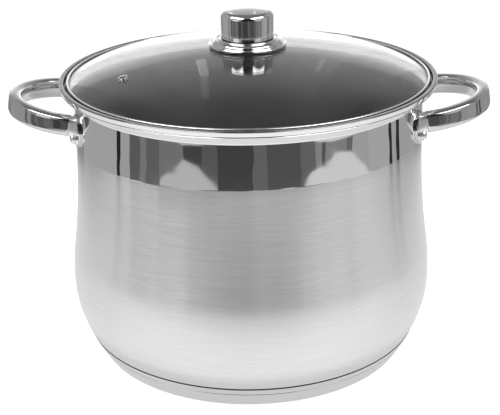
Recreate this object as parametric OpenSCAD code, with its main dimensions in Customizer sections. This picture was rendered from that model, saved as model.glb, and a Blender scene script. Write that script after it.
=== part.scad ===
// Belly-shaped canning pot with a glass lid and a lifting jar rack.
// Millimetres. Origin on the floor at the pot's axis, +Z up, handles along X, front towards -Y.

/* [Pot] */
// Inside diameter of the neck
mouth_d = 280; // [240:1:320]
// Height of the pot to the top of its lip
pot_h = 230.5; // [200:0.5:270]
// Thickness of the drawn shell
wall = 0.8; // [0.6:0.1:1.5]
// How far the belly stands out past the neck, on each side
belly_swell = 8.8; // [4:0.1:14]
// Height of the widest place of the belly
belly_z = 62; // [50:1:80]
// Radius of the side above the belly
shoulder_r = 211; // [120:1:320]
// Radius of the side below the belly
lower_r = 89.6; // [75:0.1:130]
// Height of the upright neck, from the side's end to the flare
neck_h = 35.4; // [30:0.1:60]

/* [Rim] */
// Height of the upright lip over the end of the flare
lip_h = 5.4; // [3:0.1:8]
// Radius of the flare, measured outside
flare_r = 13.4; // [11:0.1:16]
// Angle that the flare turns through
flare_turn = 70; // [60:1:78]
// How far the lip stands out past the end of the flare
lip_proud = 1.4; // [0.8:0.1:2.5]
// Thickness of the rolled lip
lip_t = 2.8; // [2:0.1:3.4]
// Radius of the lip's top edges
lip_round = 0.9; // [0.3:0.1:1]

/* [Base] */
// Thickness of the base cap
base_wall = 0.8; // [0.6:0.1:1.5]
// Thickness of the heat spreader under the floor
spreader_t = 5; // [3:0.5:7]
// Height of the seam where the base cap ends
seam_z = 20.3; // [16:0.1:24]
// Height of the open groove at the seam
seam_gap = 0.8; // [0.4:0.1:1.5]
// Depth of the groove past the cap's wall
seam_step = 0.6; // [0.4:0.1:1.2]
// How far the cap draws in from the seam to the foot
base_taper = 10.7; // [6:0.1:14]
// Radius of the cap's bulging side
base_side_r = 150; // [80:1:300]
// Gap of the brazed joints
braze = 0.05; // [0.02:0.01:0.1]

/* [Handles] */
// Width of the handle bar
bar_w = 11; // [8:0.5:14]
// Height of the handle bar
bar_h = 16.5; // [11:0.5:18]
// Rise of the bar's crowned top
bar_crown = 2; // [0.5:0.1:3]
// Depth of the hollow along the bar's outer face
bar_hollow = 0.6; // [0.2:0.1:1.2]
// Radius of the handle loop to the middle of the bar
loop_r = 49; // [36:0.5:52]
// Length of the straight legs between the loop and the stubs
leg_l = 2.5; // [2:0.5:8]
// Space from the neck to the end of the legs, along the axis of symmetry
leg_stand = 2.2; // [2:0.1:9]
// Upward tilt of the handles
handle_tilt = 9; // [0:1:10]
// Height from the middle of the bar, at the end of its legs, up to the lip's top
handle_drop = 27; // [25:0.5:60]
// Height of the leaf-shaped bracket plates
leaf_h = 27; // [22:0.5:28]
// Width of the bracket plates
leaf_w = 19; // [15:0.5:22]
// Height from the middle of the bracket plates up to the lip's top
leaf_drop = 31.2; // [31:0.1:70]
// Thickness of the bracket plates
leaf_t = 2; // [1:0.1:3]
// How much narrower and lower than the bar the bracket stubs are, all round
stub_inset = 1.6; // [0.5:0.1:3]
// Radius of the weld spots inside the wall
weld_r = 2.2; // [1:0.1:3]
// Thickness of the weld spots
weld_t = 0.25; // [0.1:0.05:0.6]
// Gap between the weld spots and the wall
weld_line = 0.1; // [0.05:0.05:0.2]
// Height between the two weld spots of a bracket
weld_pitch = 11.3; // [8:0.1:16]

/* [Lid] */
// Gap between the lid's band and the pot's lip
lid_gap = 2.9; // [1.5:0.1:3.5]
// Gap between the lid and the flare that it rests on
seat_clear = 0.3; // [0.1:0.05:0.5]
// Thickness of the glass
glass_t = 4; // [3:0.1:5]
// Height of the dome from its edge to its top
dome_rise = 25.2; // [22:0.1:28]
// Width of the glass that turns down to its edge
edge_w = 26.5; // [20:0.5:34]
// Drop of the glass over that width
edge_drop = 9.9; // [8:0.1:12]
// Thickness of the band around the glass
band_t = 0.7; // [0.5:0.1:1]
// How far the band covers the glass
band_cover = 4; // [3:0.1:6]
// Radius of the band's lower corner
band_corner = 1; // [0.5:0.1:1.5]
// Gap between the band and the glass
glass_fit = 0.15; // [0.05:0.05:0.3]

/* [Vent] */
// Distance of the steam vent from where the glass turns down
vent_in = 11; // [8:0.5:30]
// Direction of the steam vent
vent_turn = 207.7; // [180:0.1:240]
// Radius of the vent's opening
vent_r = 2.1; // [1:0.1:3]
// Wall of the vent grommet
vent_wall = 0.7; // [0.4:0.1:1]
// Width of the grommet's rims
vent_rim = 1.8; // [1:0.1:3]
// Gap between the grommet and the glass
vent_fit = 0.1; // [0.05:0.05:0.3]

/* [Knob] */
// Radius of the knob at its top
knob_r = 20.9; // [17:0.1:24]
// How much narrower the knob is at its bottom
knob_taper = 0.8; // [0:0.1:1.5]
// Height of the knob's cap
knob_h = 23; // [19:0.5:30]
// Rise of the knob's crowned top
knob_crown = 1.5; // [0.5:0.1:3]
// Radius of the knob's shoulder
knob_round = 4.6; // [1.5:0.1:5]
// Thickness of the knob's sheet
knob_wall = 0.8; // [0.6:0.1:1.2]
// Open line between the knob and its flange
knob_line = 0.5; // [0.3:0.1:1]
// How far the flange stands out past the knob
flange_out = 10.6; // [7:0.1:14]
// Height of the flange's top over the dome
flange_h = 5.6; // [5:0.1:8]
// Thickness of the flange's sheet
flange_t = 1.2; // [0.8:0.1:1.6]
// Height of the flange's outer edge over the dome
flange_edge = 0.6; // [0.4:0.1:1.2]
// Radius of the boss under the flange
boss_r = 13; // [10:0.5:15]

/* [Fastening] */
// Radius of the knob's screw
screw_r = 2.5; // [2:0.1:3]
// Radius of the screw's head
screw_head_r = 5; // [4:0.1:6]
// Height of the screw's head
screw_head_h = 3; // [2:0.1:4]
// Length of thread in the knob's core
screw_grip = 13; // [8:0.5:17]
// Clearance around the screw
screw_fit = 0.2; // [0.1:0.05:0.4]
// Radius of the hole in the glass
glass_hole_r = 4; // [3.5:0.1:5]
// Thickness of the gaskets
gasket_t = 1.2; // [0.8:0.1:2]
// Radius of the lower gasket
gasket_r = 11; // [9:0.5:14]
// Thickness of the clamp washer
washer_t = 1; // [0.8:0.1:1.5]
// Radius of the clamp washer
washer_r = 10; // [8:0.5:13]
// Thickness of the spring washer
spring_t = 1.2; // [0.8:0.1:2]
// Radius of the spring washer
spring_r = 4.4; // [4:0.1:6]
// Opening of the spring washer
spring_gap = 0.8; // [0.4:0.1:1.5]

/* [Rack] */
// Gap between the rack and the neck that it is lifted through
rack_gap = 13; // [8:0.5:25]
// Thickness of the rack's wire
wire_d = 4; // [3:0.1:5]
// Number of bars across the rack
bar_count = 11; // [9:2:15]
// Distance of the outermost bars from the ring
bar_edge = 25; // [20:1:40]
// Height of the ring over the floor of the pot
rack_stand = 16; // [14:0.5:20]
// Distance of the stays from the middle
stay_y = 48; // [44:1:60]
// Distance of the feet from the middle
foot_x = 70; // [55:1:80]
// Width of a foot between the middles of its wires
foot_w = 18; // [15:0.5:26]
// Radius of the bends of the feet
foot_bend = 6; // [5:0.5:7]
// Gap between touching wires of the rack
weld_gap = 0.02; // [0.01:0.01:0.05]
// Distance of the folded lifting handles from the middle of the rack
bail_gap = 18; // [8:1:40]
// Distance of a lifting handle's legs from the middle
bail_y = 34; // [28:1:38]
// Radius of the lifting handle's corners
bail_bend = 14; // [8:0.5:20]
// Clearance in the eyes of the lifting handles
eye_fit = 0.3; // [0.2:0.05:0.5]
// Gap between the rack's feet and the floor
foot_clear = 0.2; // [0.1:0.05:0.5]

/* [Hidden] */
$fn = 96;
over = 1;
arc_steps = 10;
bar_steps = 6;

// Pot outline
flare_z = pot_h - lip_h - flare_r * sin(flare_turn);
neck_z = flare_z - neck_h;
neck_r = mouth_d / 2 + wall;
belly_r = neck_r + belly_swell;
side_turn = 2 * atan(belly_swell / (neck_z - belly_z));
waist_r = (neck_z - belly_z) / sin(side_turn) - shoulder_r;
seam_turn = asin((belly_z - seam_z) / lower_r);
seam_r = belly_r - lower_r * (1 - cos(seam_turn));
floor_out = base_wall + spreader_t;
floor_z = floor_out + wall;
corner_start = seam_r - base_wall - seam_step;
corner_r = (seam_z - floor_out) / (1 - sin(seam_turn));
corner_x = corner_start - corner_r * cos(seam_turn);
corner_z = floor_out + corner_r;

// Rim
flare_x = neck_r + flare_r;
flare_end_r = flare_x - flare_r * cos(flare_turn);
flare_end_z = pot_h - lip_h;
lip_r = flare_end_r + lip_proud;
lip_in_r = lip_r - lip_t;
lip_in_turn = acos((flare_x - lip_in_r) / (flare_r + wall));

// Base cap
foot_r = seam_r - base_taper;
cap_top = seam_z - seam_gap;
cap_chord = norm([base_taper, cap_top]);
cap_set = sqrt(base_side_r * base_side_r - cap_chord * cap_chord / 4);
cap_x = foot_r + base_taper / 2 - cap_set * cap_top / cap_chord;
cap_z = cap_top / 2 + cap_set * base_taper / cap_chord;
spreader_in = base_wall + braze;
spreader_top = cap_top - base_wall;

// Handles
handle_z = pot_h - handle_drop;
leaf_z = pot_h - leaf_drop;
leg_y = loop_r;
leg_x = sqrt(neck_r * neck_r - (leg_y - bar_w / 2) * (leg_y - bar_w / 2)) + leg_stand + leaf_t;
leaf_turn = asin(leg_y / neck_r);
leaf_arc = (leaf_h * leaf_h / 4 + leaf_w * leaf_w / 4) / leaf_w;
leaf_in = neck_r + braze;

// Lid
band_r = lip_in_r - lid_gap;
band_z = flare_z - band_corner + sqrt(
    pow(flare_r + wall + band_corner + seat_clear, 2) - pow(flare_x - band_r + band_corner, 2));
glass_r = band_r - band_t - glass_fit;
crown_end = glass_r - edge_w;
crown_turn = 2 * atan((dome_rise - edge_drop) / crown_end);
crown_r = crown_end / sin(crown_turn);
edge_turn = 2 * atan(edge_drop / edge_w) - crown_turn;
edge_r = edge_w / (sin(edge_turn) - sin(crown_turn));
edge_x = crown_end - edge_r * sin(crown_turn);
edge_in_turn = asin((glass_r - edge_x) / (edge_r - glass_t));
glass_low = band_z + band_t + glass_fit;
edge_z = glass_low - (edge_r - glass_t) * cos(edge_in_turn);
glass_edge = edge_z + edge_r * cos(edge_turn);
dome_z = glass_edge + dome_rise;
crown_z = dome_z - crown_r;
cover_r = band_r - band_cover;
cover_turn = asin((cover_r - edge_x) / edge_r);
cover_z = edge_z + edge_r * cos(cover_turn) + glass_fit;

// Knob and its fastening
flange_z = dome_z + gasket_t;
flange_top = dome_z + flange_h;
flange_r = knob_r + flange_out;
knob_z = flange_top + knob_line;
knob_top = knob_z + knob_h;
knob_low_r = knob_r - knob_taper;
core_r = knob_low_r - knob_wall - glass_fit;
core_top = knob_top - knob_crown - knob_wall;
screw_hole_r = screw_r + screw_fit;
crown_in = crown_r - glass_t;
gasket_low = crown_z + sqrt(crown_in * crown_in - gasket_r * gasket_r);
washer_top = gasket_low - gasket_t;
spring_top = washer_top - washer_t;
screw_top = flange_top + screw_grip;
head_top = spring_top - spring_t;

// Rack
wire_r = wire_d / 2;
ring_r = mouth_d / 2 - rack_gap - wire_r;
ring_z = floor_z + foot_clear + rack_stand;
bars_z = ring_z + wire_d + weld_gap;
foot_z = floor_z + foot_clear + wire_r;
hinge_x = ring_r - bar_edge;
bar_pitch = 2 * hinge_x / (bar_count - 1);
bail_l = hinge_x - bail_gap;
eye_r = wire_d + eye_fit;
eye_turn = 270;

// Points of an arc round (x, y) from one angle to another
function arc(x, y, r, from, to, steps = arc_steps) =
    [for (i = [0:steps]) let (a = from + (to - from) * i / steps) [x + r * cos(a), y + r * sin(a)]];

function reverse(list) = [for (i = [len(list) - 1:-1:0]) list[i]];

// A list without its first point, which ends the list before it
function tail(list) = [for (i = [1:len(list) - 1]) list[i]];

// Side of the pot at an inward offset, from just above the seam to the end of the flare
function pot_side(inset, low_turn, high_turn) = concat(
    arc(belly_r - lower_r, belly_z, lower_r - inset, -low_turn, 0),
    tail(arc(belly_r - shoulder_r, belly_z, shoulder_r - inset, 0, side_turn)),
    tail(arc(neck_r + waist_r, neck_z, waist_r + inset, 180 + side_turn, 180)),
    arc(flare_x, flare_z, flare_r + inset, 180, 180 - high_turn)
);

// Section of the handle bar: x is across the bar, outwards, and y is up
function bar_section(inset) = let (
    w = bar_w / 2 - inset,
    h = bar_h / 2 - inset,
    rise = min(bar_crown, h / 2),
    crown_arc = (w * w + rise * rise) / (2 * rise),
    crown_span = asin(w / crown_arc)
) concat(
    [[-w, -h], [w, -h], [w - bar_hollow, 0]],
    arc(0, h - crown_arc, crown_arc, 90 - crown_span, 90 + crown_span, bar_steps)
);

// Pot

module pot_shell() {
    inner_seam = asin((belly_z - seam_z - 2 * wall) / lower_r);
    color("gainsboro")
    rotate_extrude()
    polygon(concat(
        [[0, floor_out]],
        arc(corner_x, corner_z, corner_r, -90, -seam_turn),
        pot_side(0, seam_turn, flare_turn),
        [[lip_r - lip_round, flare_end_z], [lip_r, flare_end_z + lip_round]],
        arc(lip_r - lip_round, pot_h - lip_round, lip_round, 0, 90, 4),
        arc(lip_in_r + lip_round, pot_h - lip_round, lip_round, 90, 180, 4),
        reverse(pot_side(wall, inner_seam, lip_in_turn)),
        reverse(arc(corner_x, corner_z, corner_r - wall, -90, -seam_turn)),
        [[0, floor_z]]
    ));
}

module base_cap() {
    function side(inset, z) = asin((z - cap_z) / (base_side_r - inset));
    color("lightgray")
    rotate_extrude()
    polygon(concat(
        [[0, 0]],
        arc(cap_x, cap_z, base_side_r, side(0, 0), side(0, cap_top)),
        reverse(arc(cap_x, cap_z, base_side_r - base_wall,
            side(base_wall, base_wall), side(base_wall, cap_top))),
        [[0, base_wall]]
    ));
}

module heat_spreader() {
    function side(z) = asin((z - cap_z) / (base_side_r - spreader_in));
    corner_out = corner_r + braze;
    corner_top = asin((spreader_top - corner_z) / corner_out);
    color("darkgray")
    rotate_extrude()
    polygon(concat(
        [[0, base_wall]],
        arc(cap_x, cap_z, base_side_r - spreader_in, side(base_wall), side(spreader_top)),
        reverse(arc(corner_x, corner_z, corner_out, -90, corner_top)),
        [[0, floor_out - braze]]
    ));
}

// Handles: all the shapes below are for the right side, and the left side is their mirror image

module tilted() {
    translate([leg_x, 0, handle_z])
    rotate([0, -handle_tilt, 0])
    children();
}

module along_leg(side, from, to, inset) {
    translate([from, side * leg_y, 0])
    rotate([90, 0, 90])
    mirror([side < 0 ? 1 : 0, 0])
    linear_extrude(to - from)
    polygon(bar_section(inset));
}

module handle() {
    color("silver")
    tilted() {
        for (side = [-1, 1])
            along_leg(side, 0, leg_l, 0);
        translate([leg_l, 0, 0])
        rotate([0, 0, -90])
        rotate_extrude(angle = 180)
        translate([loop_r, 0])
        polygon(bar_section(0));
    }
}

module bracket_leaf(side) {
    lobe = leaf_arc - leaf_w / 2;
    intersection() {
        for_lobes(side, lobe);
        for_lobes(side, -lobe);
        difference() {
            translate([0, 0, leaf_z - leaf_h / 2 - over])
            cylinder(r = leaf_in + leaf_t, h = leaf_h + 2 * over, $fn = 180);
            translate([0, 0, leaf_z - leaf_h / 2 - 2 * over])
            cylinder(r = leaf_in, h = leaf_h + 4 * over, $fn = 180);
        }
    }
}

module for_lobes(side, lobe) {
    rotate([0, 0, side * leaf_turn])
    translate([0, lobe, leaf_z])
    rotate([0, 90, 0])
    cylinder(r = leaf_arc, h = 2 * neck_r);
}

module brackets() {
    color("silver")
    for (side = [-1, 1]) {
        bracket_leaf(side);
        difference() {
            tilted()
            along_leg(side, -leg_x / 4, 0, stub_inset);
            cylinder(r = leaf_in + leaf_t / 2, h = 2 * pot_h, $fn = 180);
        }
    }
}

module spot_welds() {
    color("silver")
    for (side = [-1, 1], up = [-1, 1])
        rotate([0, 0, side * leaf_turn])
        translate([neck_r - wall - weld_line - weld_t, 0, leaf_z + up * weld_pitch / 2])
        rotate([0, 90, 0])
        cylinder(r = weld_r, h = weld_t);
}

module left_handle() { mirror([1, 0, 0]) handle(); }
module right_handle() { handle(); }
module left_handle_brackets() { mirror([1, 0, 0]) brackets(); }
module right_handle_brackets() { brackets(); }
module left_spot_welds() { mirror([1, 0, 0]) spot_welds(); }
module right_spot_welds() { spot_welds(); }

// Lid

// Turns a shape made on the axis out to the steam vent, square to the glass
module at_vent() {
    translate([0, 0, crown_z])
    rotate([0, 0, vent_turn])
    rotate([0, asin((crown_end - vent_in) / crown_r), 0])
    translate([0, 0, crown_r])
    children();
}

module lid_glass() {
    vent_hole_r = vent_r + vent_wall + vent_fit;
    color([0.8, 0.9, 0.9, 0.4])
    difference() {
        rotate_extrude()
        polygon(concat(
            arc(0, crown_z, crown_r, 90, 90 - crown_turn),
            tail(arc(edge_x, edge_z, edge_r, 90 - crown_turn, 90 - edge_turn)),
            arc(edge_x, edge_z, edge_r - glass_t, 90 - edge_in_turn, 90 - crown_turn),
            tail(arc(0, crown_z, crown_in, 90 - crown_turn, 90))
        ));
        translate([0, 0, dome_z - 2 * glass_t])
        cylinder(r = glass_hole_r, h = 3 * glass_t);
        at_vent()
        translate([0, 0, -2 * glass_t])
        cylinder(r = vent_hole_r, h = 3 * glass_t);
    }
}

module lid_rim_band() {
    shoulder_z = glass_edge + glass_fit;
    color("silver")
    rotate_extrude()
    polygon(concat(
        [[cover_r, band_z]],
        arc(band_r - band_corner, band_z + band_corner, band_corner, -90, 0, 5),
        [[band_r, shoulder_z - band_t / 2], [band_r - band_t / 2, shoulder_z + band_t / 2]],
        [[cover_r, cover_z + band_t], [cover_r, cover_z]],
        [[glass_r + glass_fit, shoulder_z], [glass_r + glass_fit, band_z + band_t]],
        [[cover_r, band_z + band_t]]
    ));
}

module vent_grommet() {
    tube_r = vent_r + vent_wall;
    rim_r = tube_r + vent_rim;
    dish = crown_r - sqrt(crown_r * crown_r - rim_r * rim_r);
    color("silver")
    at_vent()
    rotate_extrude()
    polygon([
        [vent_r, -glass_t - dish - vent_wall],
        [rim_r, -glass_t - dish - vent_wall],
        [rim_r, -glass_t - dish - vent_fit / 2],
        [tube_r, -glass_t - dish - vent_fit / 2],
        [tube_r, vent_fit / 2],
        [rim_r, vent_fit / 2],
        [rim_r - vent_wall / 2, vent_wall],
        [vent_r + vent_wall / 2, vent_wall + vent_fit],
        [vent_r, vent_wall / 2]
    ]);
}

module knob_cap() {
    side_turn_k = atan(knob_taper / knob_h);
    crown_arc = (pow(knob_r - knob_round, 2) + knob_crown * knob_crown) / (2 * knob_crown);
    crown_span = asin((knob_r - knob_round) / crown_arc);
    shoulder_z = knob_top - knob_crown - knob_round;
    inner_round = knob_round - knob_wall;
    color("gainsboro")
    rotate_extrude()
    polygon(concat(
        [[knob_low_r - knob_wall, knob_z], [knob_low_r, knob_z]],
        arc(knob_r - knob_round, shoulder_z, knob_round, -side_turn_k, 90 - crown_span, 6),
        tail(arc(0, knob_top - crown_arc, crown_arc, 90 - crown_span, 90, 6)),
        [[0, core_top]],
        arc(knob_r - knob_round, core_top - inner_round, inner_round, 90, -side_turn_k, 6)
    ));
}

module knob_flange() {
    edge_low = dome_z + flange_edge - flange_t;
    inner_edge = flange_r - flange_t;
    top_r = knob_r + flange_t / 2;
    color("gainsboro")
    rotate_extrude()
    polygon([
        [screw_hole_r, flange_z],
        [boss_r, flange_z],
        [boss_r, flange_top - flange_t],
        [top_r - flange_t, flange_top - flange_t],
        [inner_edge - flange_t, edge_low + flange_t / 2],
        [inner_edge, edge_low],
        [flange_r - flange_t / 4, edge_low + flange_t / 4],
        [flange_r, edge_low + flange_t],
        [flange_r - flange_t / 4, edge_low + 1.75 * flange_t],
        [inner_edge, edge_low + 2 * flange_t],
        [top_r + flange_t / 2, flange_top - flange_t / 2],
        [top_r, flange_top],
        [screw_hole_r, flange_top]
    ]);
}

module knob_core() {
    color("dimgray")
    difference() {
        translate([0, 0, flange_top])
        cylinder(r = core_r, h = core_top - flange_top - knob_round);
        translate([0, 0, flange_top - over])
        cylinder(r = screw_r + weld_gap, h = screw_grip + 2 * over);
    }
    color("dimgray")
    translate([0, 0, core_top - knob_round])
    cylinder(r = core_r - knob_round, h = knob_round);
}

// A flat ring between two heights
module ring_disc(outer, inner, low, high) {
    difference() {
        translate([0, 0, low])
        cylinder(r = outer, h = high - low);
        translate([0, 0, low - over])
        cylinder(r = inner, h = high - low + 2 * over);
    }
}

module upper_gasket() { color("white") ring_disc(boss_r, screw_hole_r, dome_z, flange_z); }
module lower_gasket() { color("white") ring_disc(gasket_r, screw_hole_r, washer_top, gasket_low); }
module clamp_washer() { color("silver") ring_disc(washer_r, screw_hole_r, spring_top, washer_top); }

module spring_washer() {
    color("gray")
    difference() {
        ring_disc(spring_r, screw_hole_r, head_top, spring_top);
        translate([0, -spring_gap / 2, head_top - over])
        cube([2 * spring_r, spring_gap, spring_t + 2 * over]);
    }
}

module knob_screw() {
    slot = screw_head_h / 3;
    color("gray")
    difference() {
        union() {
            translate([0, 0, head_top - screw_head_h])
            cylinder(r1 = screw_head_r - screw_head_h / 4, r2 = screw_head_r, h = screw_head_h);
            translate([0, 0, head_top])
            cylinder(r = screw_r, h = screw_top - head_top);
        }
        for (turn = [0, 90])
            translate([0, 0, head_top - screw_head_h])
            rotate([0, 0, turn])
            cube([screw_head_r, slot, 2 * slot], center = true);
    }
}

// Jar rack

module wire(length) { cylinder(r = wire_r, h = length, $fn = 32); }

module bent_wire(bend, turn) {
    rotate_extrude(angle = turn)
    translate([bend, 0])
    circle(r = wire_r, $fn = 32);
}

module rack_ring() {
    color("silver")
    translate([0, 0, ring_z])
    bent_wire(ring_r, 360);
}

module rack_bars() {
    color("silver")
    for (i = [0:bar_count - 1]) {
        x = i * bar_pitch - hinge_x;
        reach = sqrt(ring_r * ring_r - x * x) + wire_r / 2;
        translate([x, reach, bars_z])
        rotate([90, 0, 0])
        wire(2 * reach);
    }
}

module rack_stays() {
    reach = sqrt(pow(ring_r - wire_r, 2) - pow(stay_y + wire_r, 2)) - weld_gap;
    color("silver")
    for (side = [-1, 1])
        translate([-reach, side * stay_y, ring_z])
        rotate([0, 90, 0])
        wire(2 * reach);
}

module rack_foot() {
    half = foot_w / 2;
    leg_top = ring_z - wire_r - weld_gap;
    for (side = [-1, 1]) {
        translate([side * half, 0, foot_z + foot_bend])
        wire(leg_top - foot_z - foot_bend);
        translate([side * (half - foot_bend), 0, foot_z + foot_bend])
        mirror([side < 0 ? 1 : 0, 0, 0])
        rotate([90, 0, 0])
        rotate([0, 0, -90])
        bent_wire(foot_bend, 90);
    }
    translate([-(half - foot_bend), 0, foot_z])
    rotate([0, 90, 0])
    wire(2 * (half - foot_bend));
}

module rack_feet() {
    color("silver")
    for (x = [-1, 1], y = [-1, 1])
        translate([x * foot_x, y * stay_y, 0])
        rack_foot();
}

// The right lifting handle, folded flat towards the middle
module bail() {
    color("silver")
    translate([hinge_x, 0, bars_z]) {
        for (side = [-1, 1]) {
            translate([0, side * bail_y, 0])
            rotate([90, 0, 0])
            rotate([0, 0, 180])
            bent_wire(eye_r, eye_turn);
            translate([0, side * bail_y, eye_r])
            rotate([0, -90, 0])
            wire(bail_l - bail_bend);
            translate([bail_bend - bail_l, side * (bail_y - bail_bend), eye_r])
            rotate([0, 0, side > 0 ? 90 : 180])
            bent_wire(bail_bend, 90);
        }
        translate([-bail_l, bail_y - bail_bend, eye_r])
        rotate([90, 0, 0])
        wire(2 * (bail_y - bail_bend));
    }
}

module rack_left_handle() { mirror([1, 0, 0]) bail(); }
module rack_right_handle() { bail(); }

pot_shell();
base_cap();
heat_spreader();
left_handle();
right_handle();
left_handle_brackets();
right_handle_brackets();
left_spot_welds();
right_spot_welds();
lid_glass();
lid_rim_band();
vent_grommet();
knob_cap();
knob_flange();
knob_core();
upper_gasket();
lower_gasket();
clamp_washer();
spring_washer();
knob_screw();
rack_ring();
rack_bars();
rack_stays();
rack_feet();
rack_left_handle();
rack_right_handle();
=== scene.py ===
"""Canning pot with a glass lid and a jar rack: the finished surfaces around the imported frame.

Metres. The pot's axis is Z, its front faces -Y and its handles lie along X.
"""
import math

import bpy
from mathutils import Matrix, Vector


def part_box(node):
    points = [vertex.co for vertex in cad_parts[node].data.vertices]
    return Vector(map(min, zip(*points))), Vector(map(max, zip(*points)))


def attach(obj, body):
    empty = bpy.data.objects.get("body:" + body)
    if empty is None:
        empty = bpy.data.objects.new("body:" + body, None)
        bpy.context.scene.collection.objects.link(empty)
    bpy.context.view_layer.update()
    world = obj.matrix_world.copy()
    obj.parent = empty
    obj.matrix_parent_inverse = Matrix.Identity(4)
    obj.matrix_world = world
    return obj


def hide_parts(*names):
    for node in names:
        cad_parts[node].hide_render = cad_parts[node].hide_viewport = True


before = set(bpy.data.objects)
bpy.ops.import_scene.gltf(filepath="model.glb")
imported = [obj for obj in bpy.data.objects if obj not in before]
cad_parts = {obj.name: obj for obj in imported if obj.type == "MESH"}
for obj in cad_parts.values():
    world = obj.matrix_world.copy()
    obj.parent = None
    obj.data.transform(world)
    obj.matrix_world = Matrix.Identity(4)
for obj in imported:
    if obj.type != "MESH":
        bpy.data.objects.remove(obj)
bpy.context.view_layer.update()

MM = 0.001
LATHE_STEPS = 192

# Pot sizes, taken from the frame where a node's box gives them
pot_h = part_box("pot_shell")[1].z
lip_r = min(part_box("pot_shell")[1].x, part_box("pot_shell")[1].y)
neck_r = 140.8 * MM
wall = 0.8 * MM
belly_r = 149.6 * MM
belly_z = 62 * MM
shoulder_r = 211 * MM
lower_r = 89.6 * MM
neck_h = 35.4 * MM
lip_h = 5.4 * MM
lip_t = 3.8 * MM
lip_round = 1.1 * MM
lip_edge = 0.7 * MM
lip_slant = 0.9 * MM
lip_lean = 18
lip_flat = 0.35 * MM
inner_rim = 9 * MM
crease_depth = 0.5 * MM
flare_r = 13.4 * MM
flare_turn = 70
polish_z = 183.2 * MM
polish_lean = 0.014
polish_blend = 0.3 * MM
worn_h = 30 * MM
# Blend at the edges of the bands of painted shade
painted_shade_blend = 0.1 * MM
# Brush lines: how tight they are along the height, and how loose round the piece
fine_lines = (1900, 30)
broad_lines = (520, 12)

flare_z = pot_h - lip_h - flare_r * math.sin(math.radians(flare_turn))
flare_x = neck_r + flare_r
bend_r = 1.6 * MM
bend_z = flare_z + (flare_r - bend_r) * (math.sqrt(2) - 1)
neck_z = flare_z - neck_h
side_turn = 2 * math.degrees(math.atan((belly_r - neck_r) / (neck_z - belly_z)))
waist_r = (neck_z - belly_z) / math.sin(math.radians(side_turn)) - shoulder_r
lip_in_r = lip_r - lip_t
lip_in_turn = math.degrees(math.acos((flare_x - lip_in_r) / (flare_r + wall)))

# Base sizes
base_wall = 0.8 * MM
seam_z = 20.3 * MM
seam_gap = 1.35 * MM
seam_step = 0.9 * MM
base_taper = 10.7 * MM
base_side_r = 150 * MM
foot_round = 1.2 * MM
press_z = 13.6 * MM
press_w = 0.35 * MM
press_depth = 0.3 * MM
cap_edge = 0.3 * MM
cap_in = 0.2 * MM
floor_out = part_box("pot_shell")[0].z
floor_z = floor_out + wall
seam_turn = math.degrees(math.asin((belly_z - seam_z) / lower_r))
seam_r = belly_r - lower_r * (1 - math.cos(math.radians(seam_turn)))
foot_r = seam_r - base_taper
cap_top = seam_z - seam_gap
corner_r = (seam_z - floor_out) / (1 - math.sin(math.radians(seam_turn)))
corner_x = seam_r - base_wall - seam_step - corner_r * math.cos(math.radians(seam_turn))
corner_z = floor_out + corner_r

# Lid sizes
glass_t = 4 * MM
glass_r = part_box("lid_glass")[1].x
glass_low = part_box("lid_glass")[0].z
dome_rise = 25.2 * MM
edge_w = 26.5 * MM
edge_drop = 9.9 * MM
glass_hole_r = 4 * MM
band_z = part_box("lid_rim_band")[0].z
band_t = 0.7 * MM
band_foot = 3 * MM
bead_r = 0.9 * MM
bead_in = 0.4 * MM
bead_rise = 1.1 * MM
band_edge = 0.3 * MM
band_lean = 0.35 * MM
glass_fit = 0.15 * MM
crown_end = glass_r - edge_w
crown_turn = 2 * math.degrees(math.atan((dome_rise - edge_drop) / crown_end))
crown_r = crown_end / math.sin(math.radians(crown_turn))
edge_turn = 2 * math.degrees(math.atan(edge_drop / edge_w)) - crown_turn
edge_r = edge_w / (math.sin(math.radians(edge_turn)) - math.sin(math.radians(crown_turn)))
edge_x = crown_end - edge_r * math.sin(math.radians(crown_turn))
edge_in_turn = math.degrees(math.asin((glass_r - edge_x) / (edge_r - glass_t)))
edge_z = glass_low - (edge_r - glass_t) * math.cos(math.radians(edge_in_turn))
glass_edge = edge_z + edge_r * math.cos(math.radians(edge_turn))
dome_z = glass_edge + dome_rise
crown_z = dome_z - crown_r

# Steam vent
vent_turn = 207.7
vent_in = 11 * MM
vent_r = 2.1 * MM
vent_wall = 0.7 * MM
vent_rim = 1.2 * MM
vent_fit = 0.05 * MM
vent_hole_r = vent_r + vent_wall + 2 * vent_fit
vent_rise = 0.3 * MM
vent_rim_edge = 0.4 * MM
vent_bore_edge = 0.5 * MM
vent_lean = math.degrees(math.asin((crown_end - vent_in) / crown_r))

# Knob sizes
knob_low, knob_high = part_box("knob_cap")
knob_z = knob_low.z
knob_top = knob_high.z
knob_more = 0.6 * MM
knob_r = knob_high.x + knob_more
knob_taper = 0.2 * MM
knob_crown = 1.5 * MM
knob_round = 4.6 * MM
knob_wall = 0.8 * MM
knob_edge = 0.2 * MM
flange_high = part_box("knob_flange")[1]
flange_r = flange_high.x
flange_top = flange_high.z
flange_t = 1.2 * MM
flange_edge = 0.6 * MM
collar_r = knob_r + 1 * MM
collar_bead = 1.1 * MM
skirt_r = flange_r - 1.4 * MM
skirt_bead = 1.3 * MM
swell_r = skirt_r - 5.2 * MM
swell_bead = 3.6 * MM
swell_z = 2.1 * MM
swell_step = 0.1 * MM
hollow_out = 1.25 * MM
hollow_down = 1.75 * MM
boss_r = 13 * MM
screw_hole_r = 2.7 * MM

# Handle sizes
bar_w = 11 * MM
bar_h = 16.5 * MM
bar_end_round = 0.8 * MM
loop_r = 49 * MM
leg_l = 2.5 * MM
leg_stand = 2.2 * MM
handle_z = pot_h - 27 * MM
handle_tilt = 9
stub_inset = 0.5 * MM
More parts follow.
